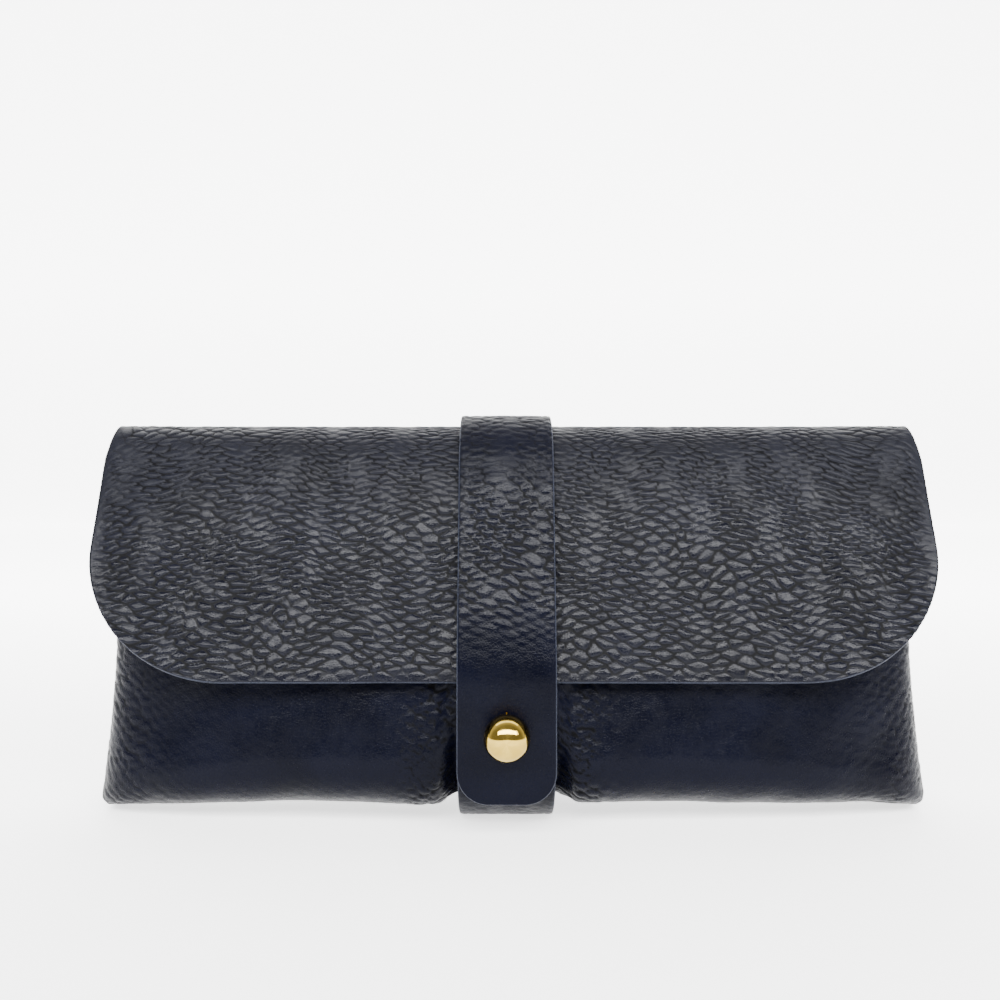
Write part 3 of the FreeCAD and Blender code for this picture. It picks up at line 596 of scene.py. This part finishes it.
def thread_material(name):
    """Waxed thread of twisted strands."""
    shader = Shader(name)
    where = shader.place()
    twist = shader.add("ShaderNodeTexWave", wave_type="BANDS", bands_direction="DIAGONAL")
    twist.inputs["Scale"].default_value = 90.0
    twist.inputs["Distortion"].default_value = 1.5
    shader.link(where, 0, twist, "Vector")
    tone = shader.remap(twist, 1, 0.1, 0.9)
    colour = shader.mix(tone, (0.012, 0.014, 0.024), (0.045, 0.050, 0.075))
    shader.link(colour, 2, shader.base, "Base Color")
    shader.base.inputs["Roughness"].default_value = 0.6
    shader.link(shader.bump(twist, 1, 0.8, 0.00012), 0, shader.base, "Normal")
    return shader.material


# The same leather in copies: the front panel and the band's less grained parts get less specular, so that
# they read darker as painted shade; these parts also carry less grain.
hide_leather = grained_material("grained_leather", 0.27, 0.118)
panel_leather = grained_material("smooth_shaded_leather", 0.28, 0.05)
band_leather = grained_material("strap_leather", 0.24, 0.092)
band_half_shaded = grained_material("strap_half_shaded", 0.24, 0.062)
tab_leather = grained_material("strap_smooth_shaded", 0.24, 0.043)
suede = suede_material("suede_inside")
cut_edge = edge_material("cut_edge")
brass = brass_material("polished_brass")
thread = thread_material("sewing_thread")

# In the order OUTER, INNER, EDGE; the band's outer face has two more, the half-shaded one and SMOOTH, both
# with less specular as painted shade
HALF_SHADED, SMOOTH = 3, 4
HIDE_SET = (hide_leather, suede, cut_edge)
PANEL_SET = (panel_leather, suede, cut_edge)
BAND_SET = (band_leather, suede, cut_edge, band_half_shaded, tab_leather)

# ---------------------------------------------------------------------------
# The hide: back and flap in one sheet, and the front panel
# ---------------------------------------------------------------------------

COLUMNS = 441
BACK_ROWS, FLAP_ROWS, PANEL_ROWS = 221, 232, 161


def flap_spot(p, q):
    """Place across and distance from the top line on the flap, for places 0 to 1 in a square grid.

    The grid's two lower corners are moved in to make the flap's round ones."""
    length = path_length(flap_path(fullness_at(p)))
    up = 1 - (1 - q) * length / CORNER_UP
    out = (np.abs(p) * TOP_HALF_WIDTH - (TOP_HALF_WIDTH - CORNER_ACROSS)) / CORNER_ACROSS
    inside = (up > 0) & (out > 0)
    up_in, out_in = np.where(inside, up, 0.0), np.where(inside, out, 0.0)
    new_out = out_in * np.sqrt(1 - up_in ** 2 / 2)
    new_up = up_in * np.sqrt(1 - out_in ** 2 / 2)
    new_p = np.sign(p) * (TOP_HALF_WIDTH - CORNER_ACROSS * (1 - new_out)) / TOP_HALF_WIDTH
    p_at = np.where(inside, new_p, p)
    new_length = path_length(flap_path(fullness_at(p_at)))
    return p_at, np.where(inside, new_length - CORNER_UP * (1 - new_up), q * length)


def off_seams(x):
    """0 at the side seams and 1 away from them."""
    return 1 - ramp(np.abs(x), 74.0, 86.0)


def settle(x, s):
    """Slow swells of the soft leather, in millimetres."""
    return 0.35 * waves(x, s, 46.0, 31) + 0.16 * waves(x, s * 1.6, 19.0, 32)


def band_fade(x, reach):
    """1 beside the band and 0 at a distance from it."""
    return 1 - ramp(np.abs(x - BAND_MIDDLE) - BAND_HALF, 0.0, reach)


BELLY_ACROSS, BELLY_DOWN = 69.0, 58.0
BELLY_WIDTH, BELLY_LENGTH = 15.0, 16.0
BELLY_RIGHT, BELLY_LEFT = 1.15, 0.75


def belly(x, s):
    """The swell in each of the flap's lower corners, in millimetres."""
    across, down = (np.abs(x) - BELLY_ACROSS) / BELLY_WIDTH, (s - BELLY_DOWN) / BELLY_LENGTH
    return np.where(x > 0, BELLY_RIGHT, BELLY_LEFT) * np.exp(-across ** 2 - down ** 2)


def hide_point(path, p, distance):
    """The points at these distances along a path, for places across from -1 to 1."""
    y, z = walk(path, distance)
    return np.stack([p * width_at(z), y, z], -1)


def lifted(points, amount):
    """The points moved out of the surface by an amount."""
    return points + grid_normals(points) * amount[..., None]


def fold_gloss(distance):
    """The leather is duller where it is stretched over the fold."""
    return ramp(distance, 4.0, 36.0)


def hide_grain_strength(s, calm, to_side, to_end):
    """How raised the grain is: less over the fold, at the ground and near the edges."""
    down = np.abs(s)
    strength = (0.55 + 0.20 * ramp(down, 6.0, 18.0) + 0.25 * ramp(down, 22.0, 40.0)) * (0.35 + 0.65 * calm)
    strength *= 0.25 + 0.75 * ramp(to_side, 0.3, 3.5)
    return strength * (0.3 + 0.7 * ramp(to_end, 0.3, 3.0))


def make_back_and_flap():
    """One sheet from the ground behind the case, up the back and over the fold to the flap's edge."""
    p = np.linspace(-1, 1, COLUMNS)[None, :]
    back_q = np.linspace(1, 0, BACK_ROWS)[:-1, None]
    flap_q = np.linspace(0, 1, FLAP_ROWS + 1)[:, None]
    back_p = p + 0.0 * back_q
    down_back = back_path(fullness_at(back_p))
    back_s = back_q * path_length(down_back)
    back = hide_point(down_back, back_p, back_s)
    flap_p, flap_s = flap_spot(p + 0.0 * flap_q, flap_q + 0.0 * p)
    down_flap = flap_path(fullness_at(flap_p))
    front = hide_point(down_flap, flap_p, flap_s)
    points = np.concatenate([back, front])
    s = np.concatenate([-back_s, flap_s])
    x = points[..., 0]
    bottom = np.concatenate([back_q + 0.0 * p, 0.0 * front[..., 0]])
    calm = 1 - ramp(bottom, 0.86, 1.0)
    side = off_seams(x)
    swell = settle(x, s) * ramp(np.abs(s), 3.0, 20.0)
    points = lifted(points, (swell * side * calm + belly(x, s) * side) * (1 - band_fade(x, 6.0)))
    gloss = fold_gloss(np.abs(s)) - 0.35 * ramp(np.abs(x), 58.0, 84.0) * (1 - ramp(s, 30.0, 60.0))
    to_right = (1 - np.concatenate([back_p, flap_p])) * TOP_HALF_WIDTH
    to_side = np.minimum(to_right, 2 * TOP_HALF_WIDTH - to_right)
    to_end = np.concatenate([np.full(back_s.shape, np.inf), path_length(down_flap) - flap_s])
    height, crease = grain(x, s, hide_grain_strength(s, calm, to_side, to_end))
    return sheet_from_grid(
        "back_and_flap_leather", points, height, x, s, HIDE_SET, crease, np.clip(gloss, 0, 1),
        flush=("start",),
    )


# Where the front panel's place in the grain's pattern starts, beyond the flap's
PANEL_FROM = 300.0


def make_front_panel():
    """The second sheet, from the mouth down the front and under to the middle of the bottom."""
    p = np.linspace(-1, 1, COLUMNS)[None, :]
    q = np.linspace(1, 0, PANEL_ROWS)[:, None]
    p_at = p + 0.0 * q
    path = front_path(fullness_at(p_at), band_fade(p_at * TOP_HALF_WIDTH, 5.0))
    s = q * path_length(path)
    points = hide_point(path, p_at, s)
    x, z = points[..., 0], points[..., 2]
    away = np.abs(x - BAND_MIDDLE) - BAND_HALF
    beside = ramp(away, -2.0, 1.0) * (1 - ramp(away, 5.0, 16.0))
    crinkle = beside * (1 - 0.75 * ramp(z, 34.0, 50.0))
    folds = crinkle * (0.13 * waves(x * 2.6, s * 0.55, 9.0, 41) + 0.07 * waves(x * 2.4, s, 4.5, 42))
    slack = 0.8 * settle(x, s + PANEL_FROM) * off_seams(x) * (1 - band_fade(x, 6.0))
    points = lifted(points, (slack + folds) * ramp(q + 0.0 * p, 0.0, 0.14))
    strength = 0.14 + 0.55 * crinkle + 0.30 * ramp(np.abs(x), 62.0, 84.0)
    along = s + PANEL_FROM
    height, crease = grain(x, along, strength)
    return sheet_from_grid(
        "front_panel_leather", points, height, x, along, PANEL_SET, crease, np.ones(x.shape),
        flush=("end",),
    )


back_and_flap = make_back_and_flap()
front_panel = make_front_panel()

# ---------------------------------------------------------------------------
# The band: under the case, up the back and over the top, and down the front to the tab
# ---------------------------------------------------------------------------

BAND_GAP = 0.6
BAND_RADIUS = FOLD_RADIUS + BAND_GAP + LEATHER
FOLD_CENTRE_Z = FOLD_TOP - FOLD_RADIUS
BAND_LEAN = math.radians(14.75)
TAB_DEPTH = -TAB_LOW[1]
TAB_END = TAB_LOW[2]
STUB_DEPTH = -UNDER_LOW[1]
STUB_TOP = UNDER_HIGH[2]
FRONT_BEND, BACK_BEND, TAB_BEND = 19.0, 21.9, 26.0
BACK_REACH = 30.85
# Where the band's three sheets meet: along the ground from the back bend, and round the fold from its top
UNDER_RUN = 3.87
JOIN_TURN = math.radians(52.5)

BACK_BEND_Y = (BACK_REACH - BACK_BEND - BACK_BEND * math.sin(WALL_LEAN)) / math.cos(WALL_LEAN)
UNDER_END = math.asin(UNDER_RUN / BACK_BEND)


def under_path():
    """From the stub's top down, under the case, to where the back begins."""
    front_bend_y = -(STUB_DEPTH - FRONT_BEND)
    return [
        line(-STUB_DEPTH, STUB_TOP, -STUB_DEPTH, FRONT_BEND),
        arc(front_bend_y, FRONT_BEND, FRONT_BEND, math.pi, 1.5 * math.pi),
        line(front_bend_y, 0.0, BACK_BEND_Y, 0.0),
        arc(BACK_BEND_Y, BACK_BEND, BACK_BEND, 1.5 * math.pi, 1.5 * math.pi + UNDER_END),
    ]


def back_band_path():
    """From the ground up the back and over the top to the join."""
    end_y = BACK_BEND_Y + BACK_BEND * math.cos(WALL_LEAN)
    end_z = BACK_BEND + BACK_BEND * math.sin(WALL_LEAN)
    top_y, top_z = BAND_RADIUS * math.cos(WALL_LEAN), FOLD_CENTRE_Z + BAND_RADIUS * math.sin(WALL_LEAN)
    return [
        arc(BACK_BEND_Y, BACK_BEND, BACK_BEND, UNDER_END - math.pi / 2, WALL_LEAN),
        line(end_y, end_z, top_y, top_z),
        arc(0.0, FOLD_CENTRE_Z, BAND_RADIUS, WALL_LEAN, math.pi / 2 + JOIN_TURN),
    ]


def front_band_path():
    """From the join down the front, and the tab hanging over the stud."""
    normal = math.pi - BAND_LEAN
    top_y = BAND_RADIUS * math.cos(normal)
    top_z = FOLD_CENTRE_Z + BAND_RADIUS * math.sin(normal)
    bend_y = -TAB_DEPTH + TAB_BEND
    low_y = bend_y + TAB_BEND * math.cos(normal)
    low_z = top_z - (top_y - low_y) / math.tan(BAND_LEAN)
    bend_z = low_z - TAB_BEND * math.sin(normal)
    return [
        arc(0.0, FOLD_CENTRE_Z, BAND_RADIUS, math.pi / 2 + JOIN_TURN, normal),
        line(top_y, top_z, low_y, low_z),
        arc(bend_y, bend_z, TAB_BEND, normal, math.pi),
        line(-TAB_DEPTH, bend_z, -TAB_DEPTH, TAB_END),
    ]


def round_end(x, s, length, corner, first):
    """Moves a grid's first or last rows in so that this end's two corners are round."""
    near = s if first else length - s
    up = 1 - near / corner
    out = (np.abs(x) - (BAND_HALF - corner)) / corner
    inside = (up > 0) & (out > 0)
    up_in, out_in = np.where(inside, up, 0.0), np.where(inside, out, 0.0)
    new_x = np.sign(x) * (BAND_HALF - corner + corner * out_in * np.sqrt(1 - up_in ** 2 / 2))
    new_near = corner * (1 - up_in * np.sqrt(1 - out_in ** 2 / 2))
    new_near = np.where(inside, new_near, near)
    return np.where(inside, new_x, x), (new_near if first else length - new_near)


def band_height(x):
    """Burnished edges and a faint line along them."""
    from_edge = BAND_HALF - np.abs(x)
    rounded = -0.14 * (1 - ramp(from_edge, 0.0, 0.9)) ** 2
    groove = -0.05 * np.exp(-((from_edge - 1.5) / 0.25) ** 2)
    return rounded + groove


BAND_COLUMNS = 49
# How far the band's place in the grain's pattern is shifted across from the hide's
BAND_ASIDE = 40.0
# How raised the grain has to be for each of the band's shinier materials; where it is lower the band gets
# less specular, as painted shade
GRAINED_FROM, HALF_SHADED_FROM = 0.62, 0.30


def make_band(
    name, path, spacing, grain_at, gloss_at, flush, start=0.0, first_corner=0.0, last_corner=0.0,
):
    """One of the band's sheets, along a path, with rows this far apart and this grain and gloss.

    start is its place along the whole band, and the corners are the radii of its round ends."""
    length = float(path_length(path))
    rows = INNER_STEP * round(length / spacing / INNER_STEP) + 1
    s, x = np.meshgrid(
        np.linspace(0, length, rows), np.linspace(-BAND_HALF, BAND_HALF, BAND_COLUMNS), indexing="ij"
    )
    if first_corner:
        x, s = round_end(x, s, length, first_corner, True)
    if last_corner:
        x, s = round_end(x, s, length, last_corner, False)
    y, z = walk(path, s)
    points = np.stack([x + BAND_MIDDLE, y, z], -1)
    strength = grain_at(s)
    across, along = x + BAND_ASIDE, s + start
    height, crease = grain(across, along, strength)
    kept = strength + 0.10 * waves(x, s, 6.0, 51)
    # painted shade: the band's less grained parts take the copies with less specular
    zones = np.where(kept > GRAINED_FROM, OUTER, np.where(kept > HALF_SHADED_FROM, HALF_SHADED, SMOOTH))
    return sheet_from_grid(
        name, points, height + band_height(x), across, along, BAND_SET, crease, gloss_at(s),
        flush=flush, zones=zones,
    )


UNDER_LENGTH = float(path_length(under_path()))
BACK_LENGTH = float(path_length(back_band_path()))
FOLD_TO_JOIN = 14.0


def under_grain(s):
    """Rubbed almost smooth."""
    return np.full(s.shape, 0.22)


def under_gloss(s):
    """Half polished."""
    return np.full(s.shape, 0.6)


def back_grain(s):
    """The grain fades towards the fold."""
    return 0.75 - 0.3 * ramp(s, 90.0, 108.0)


def back_gloss(s):
    """Duller over the fold, like the hide."""
    return fold_gloss(np.abs(BACK_LENGTH - FOLD_TO_JOIN - s))


def front_grain(s):
    """The grain comes back below the fold and is worn off the tab."""
    return 0.06 + (0.39 + 0.50 * ramp(s, 4.0, 20.0)) * (1 - ramp(s, 26.0, 47.0))


def front_gloss(s):
    """Duller at the fold, like the hide."""
    return fold_gloss(s + FOLD_TO_JOIN)


band_under = make_band(
    "band_under", under_path(), 0.5, under_grain, under_gloss, ("end",), first_corner=4.0
)
band_back = make_band(
    "band_back", back_band_path(), 0.42, back_grain, back_gloss, ("start", "end"), start=UNDER_LENGTH
)
band_front = make_band(
    "band_front", front_band_path(), 0.36, front_grain, front_gloss, ("start",),
    start=UNDER_LENGTH + BACK_LENGTH, last_corner=6.0,
)

HOLE_RADIUS, SLIT_HALF, SLIT_REACH = 2.45, 0.2, 4.0
CUT_BEFORE, CUT_BEHIND = 4.0, 6.0


def button_hole_outline():
    """The hole that the ball is pushed through and its slit above, as (x, z) from the hole's centre."""
    meet = math.asin(SLIT_HALF / HOLE_RADIUS)
    turns = np.linspace(math.pi / 2 + meet, 2.5 * math.pi - meet, 41)
    round_part = [(HOLE_RADIUS * math.cos(turn), HOLE_RADIUS * math.sin(turn)) for turn in turns]
    return round_part + [(SLIT_HALF, SLIT_REACH), (-SLIT_HALF, SLIT_REACH)]


def cut_button_hole(piece):
    """Cuts the hole through the tab, with walls of cut edge."""
    outline = button_hole_outline()
    count = len(outline)
    front, back = -TAB_DEPTH - CUT_BEFORE, -TAB_DEPTH + CUT_BEHIND
    vertices = [(BAND_MIDDLE + x, y, STUD_HEIGHT + z) for y in (front, back) for x, z in outline]
    faces = [[count + k, count + (k + 1) % count, (k + 1) % count, k] for k in range(count)]
    faces += [list(range(count)), list(range(2 * count - 1, count - 1, -1))]
    cutter = mesh_object(
        "hole_cutter", vertices, faces, [cut_edge], [0] * len(faces), {}, np.zeros((len(vertices), 2))
    )
    cut = piece.modifiers.new("button_hole", "BOOLEAN")
    cut.operation, cut.solver, cut.material_mode, cut.object = "DIFFERENCE", "EXACT", "TRANSFER", cutter
    depsgraph = bpy.context.evaluated_depsgraph_get()
    done = bpy.data.meshes.new_from_object(
        piece.evaluated_get(depsgraph), preserve_all_data_layers=True, depsgraph=depsgraph
    )
    piece.modifiers.clear()
    piece.data = done
    bpy.data.objects.remove(cutter)


cut_button_hole(band_front)

# ---------------------------------------------------------------------------
# The stud
# ---------------------------------------------------------------------------


UV_PER_TURN = 0.04


def lathe(name, profile, centre, material, rounds=96):
    """A turned piece about a line along Y; the profile is a list of (y, radius)."""
    turn = np.linspace(0, 2 * math.pi, rounds, endpoint=False)
    vertices, uv = [], []
    travelled = 0.0
    last_y, last_radius = profile[0]
    for y, radius in profile:
        travelled += math.hypot(y - last_y, radius - last_radius)
        last_y, last_radius = y, radius
        x, z = centre[0] + radius * np.cos(turn), centre[1] + radius * np.sin(turn)
        vertices.append(np.stack([x, np.full(rounds, y), z], -1))
        uv.append(np.stack([np.abs(turn - math.pi) * UV_PER_TURN, np.full(rounds, travelled / UV_SPAN)], -1))
    faces = []
    for level in range(len(profile) - 1):
        a = level * rounds + np.arange(rounds)
        b = a + rounds
        faces += quads(a, b, np.roll(b, -1), np.roll(a, -1))
    faces.append(list(range(rounds)))
    faces.append(list(range(len(profile) * rounds - 1, (len(profile) - 1) * rounds - 1, -1)))
    return mesh_object(
        name, np.concatenate(vertices), faces, [material], [0] * len(faces), {}, np.concatenate(uv)
    )


NECK_RADIUS, BALL_RADIUS = 2.1, 4.45


def stud_profile():
    """From the flange's back to the front of the ball, which is a little fuller than a sphere."""
    back, flange = STUD_HIGH[1], (STUD_HIGH[0] - STUD_LOW[0]) / 2
    neck, ball = NECK_RADIUS, BALL_RADIUS
    centre = STUD_LOW[1] + ball
    profile = [(back, flange - 0.15), (back - 0.12, flange)]
    profile += [(back - 0.5, flange), (back - 0.66, flange - 0.18), (back - 0.70, flange - 0.5)]
    profile += [(back - 0.72, neck + 0.5), (back - 0.95, neck + 0.08), (back - 1.2, neck)]
    first = math.asin(neck / ball)
    for turn in np.linspace(first, math.pi - 0.03, 40):
        out, along = math.sin(turn), math.cos(turn)
        profile.append((centre + ball * math.copysign(abs(along) ** 0.9, along), ball * out ** 0.88))
    return profile


stud = lathe("stud_ball", stud_profile(), (BAND_MIDDLE, STUD_HEIGHT), brass)

# The nodes that stay as the CAD made them
for name, material in (
    ("stud_screw", brass), ("left_seam_thread", thread),
    ("right_seam_thread", thread), ("strap_stitching", thread),
):
    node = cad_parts[name]
    node.data.materials.clear()
    node.data.materials.append(material)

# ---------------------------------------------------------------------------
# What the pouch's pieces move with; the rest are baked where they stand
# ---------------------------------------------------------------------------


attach(front_panel, "pouch")
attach(band_under, "pouch")
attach(stud, "pouch")
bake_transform(back_and_flap)
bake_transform(band_back)
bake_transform(band_front)

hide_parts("front_panel")
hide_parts("back_panel", "flap")
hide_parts("strap_under")
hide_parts("strap_back", "strap_top")
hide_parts("strap_front", "strap_tab")
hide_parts("stud_post")

# ---------------------------------------------------------------------------
# Floor, lights and camera
# ---------------------------------------------------------------------------


def sweep_material(name):
    """White paper over a light table that glows less towards the front."""
    shader = Shader(name)
    where = shader.add("ShaderNodeTexCoord")
    speck = shader.add("ShaderNodeTexNoise")
    speck.inputs["Scale"].default_value = 40.0
    shader.link(where, "Object", speck, "Vector")
    tone = shader.mix(shader.remap(speck, 0, 0.2, 0.8), (0.90, 0.90, 0.90), (0.88, 0.88, 0.88))
    shader.link(tone, 2, shader.base, "Base Color")
    shader.base.inputs["Roughness"].default_value = 0.7
    shader.base.inputs["Specular IOR Level"].default_value = 0.2
    split = shader.add("ShaderNodeSeparateXYZ")
    shader.link(where, "Object", split, 0)
    glow = shader.remap(split, "Y", -0.12, 0.50, 1.25, 5.4)
    shader.base.inputs["Emission Color"].default_value = (1.0, 1.0, 1.0, 1.0)
    shader.link(glow, 0, shader.base, "Emission Strength")
    return shader.material


def make_sweep():
    """Floor that curves up into a backdrop."""
    reach, back, curve, top = 4.0, 2.2, 0.8, 3.0
    profile = [(-reach, 0.0), (-0.4, 0.0), (0.0, 0.0), (0.6, 0.0)]
    for turn in np.linspace(0, math.pi / 2, 24):
        profile.append((back + curve * math.sin(turn), curve * (1 - math.cos(turn))))
    profile.append((back + curve, top))
    vertices = [(side * reach, y, z) for y, z in profile for side in (-1, 1)]
    faces = [(2 * k, 2 * k + 1, 2 * k + 3, 2 * k + 2) for k in range(len(profile) - 1)]
    mesh = bpy.data.meshes.new("floor")
    mesh.from_pydata(vertices, [], faces)
    mesh.polygons.foreach_set("use_smooth", np.ones(len(faces), bool))
    mesh.materials.append(sweep_material("white_sweep"))
    floor = bpy.data.objects.new("floor", mesh)
    bpy.context.scene.collection.objects.link(floor)
    return floor


make_sweep()


def area_light(name, where, aim, size, power):
    data = bpy.data.lights.new(name, "AREA")
    data.shape = "RECTANGLE"
    data.size, data.size_y = size
    data.energy = power
    light = bpy.data.objects.new(name, data)
    light.location = where
    light.rotation_mode = "QUATERNION"
    light.rotation_quaternion = (Vector(aim) - Vector(where)).to_track_quat("-Z", "Y")
    bpy.context.scene.collection.objects.link(light)
    return light


area_light("window", (0.02, -0.77, 0.61), (0.0, 0.0, 0.05), (1.6, 0.34), 50.0)
area_light("side_fill", (0.55, -0.50, 0.45), (0.06, 0.0, 0.06), (0.26, 0.26), 2.2)
area_light("back_top", (0.0, 0.42, 0.85), (0.0, 0.12, 0.0), (1.6, 0.7), 12.0)


def make_world():
    """A white studio, brighter behind the case than in front of it."""
    world = bpy.data.worlds.new("white_studio")
    world.use_nodes = True
    bpy.context.scene.world = world
    nodes, links = world.node_tree.nodes, world.node_tree.links
    background = nodes["Background"]
    place = nodes.new("ShaderNodeTexCoord")
    split = nodes.new("ShaderNodeSeparateXYZ")
    links.new(place.outputs["Generated"], split.inputs[0])
    toward = nodes.new("ShaderNodeMapRange")
    toward.interpolation_type = "SMOOTHSTEP"
    toward.inputs["From Min"].default_value = -0.35
    toward.inputs["From Max"].default_value = 0.45
    toward.inputs["To Min"].default_value = 0.45
    toward.inputs["To Max"].default_value = 2.0
    links.new(split.outputs["Y"], toward.inputs["Value"])
    background.inputs["Color"].default_value = (1.0, 1.0, 1.0, 1.0)
    links.new(toward.outputs[0], background.inputs["Strength"])


def make_camera():
    """Level, straight ahead, about 0.2 m from the middle of the case."""
    data = bpy.data.cameras.new("camera")
    data.lens = 32.6
    data.sensor_width = 36.0
    data.clip_start = 0.01
    camera = bpy.data.objects.new("camera", data)
    camera.location = (-0.0028, -0.200, 0.0669)
    camera.rotation_euler = (math.pi / 2, 0.0, 0.0)
    bpy.context.scene.collection.objects.link(camera)
    bpy.context.scene.camera = camera


make_world()
make_camera()
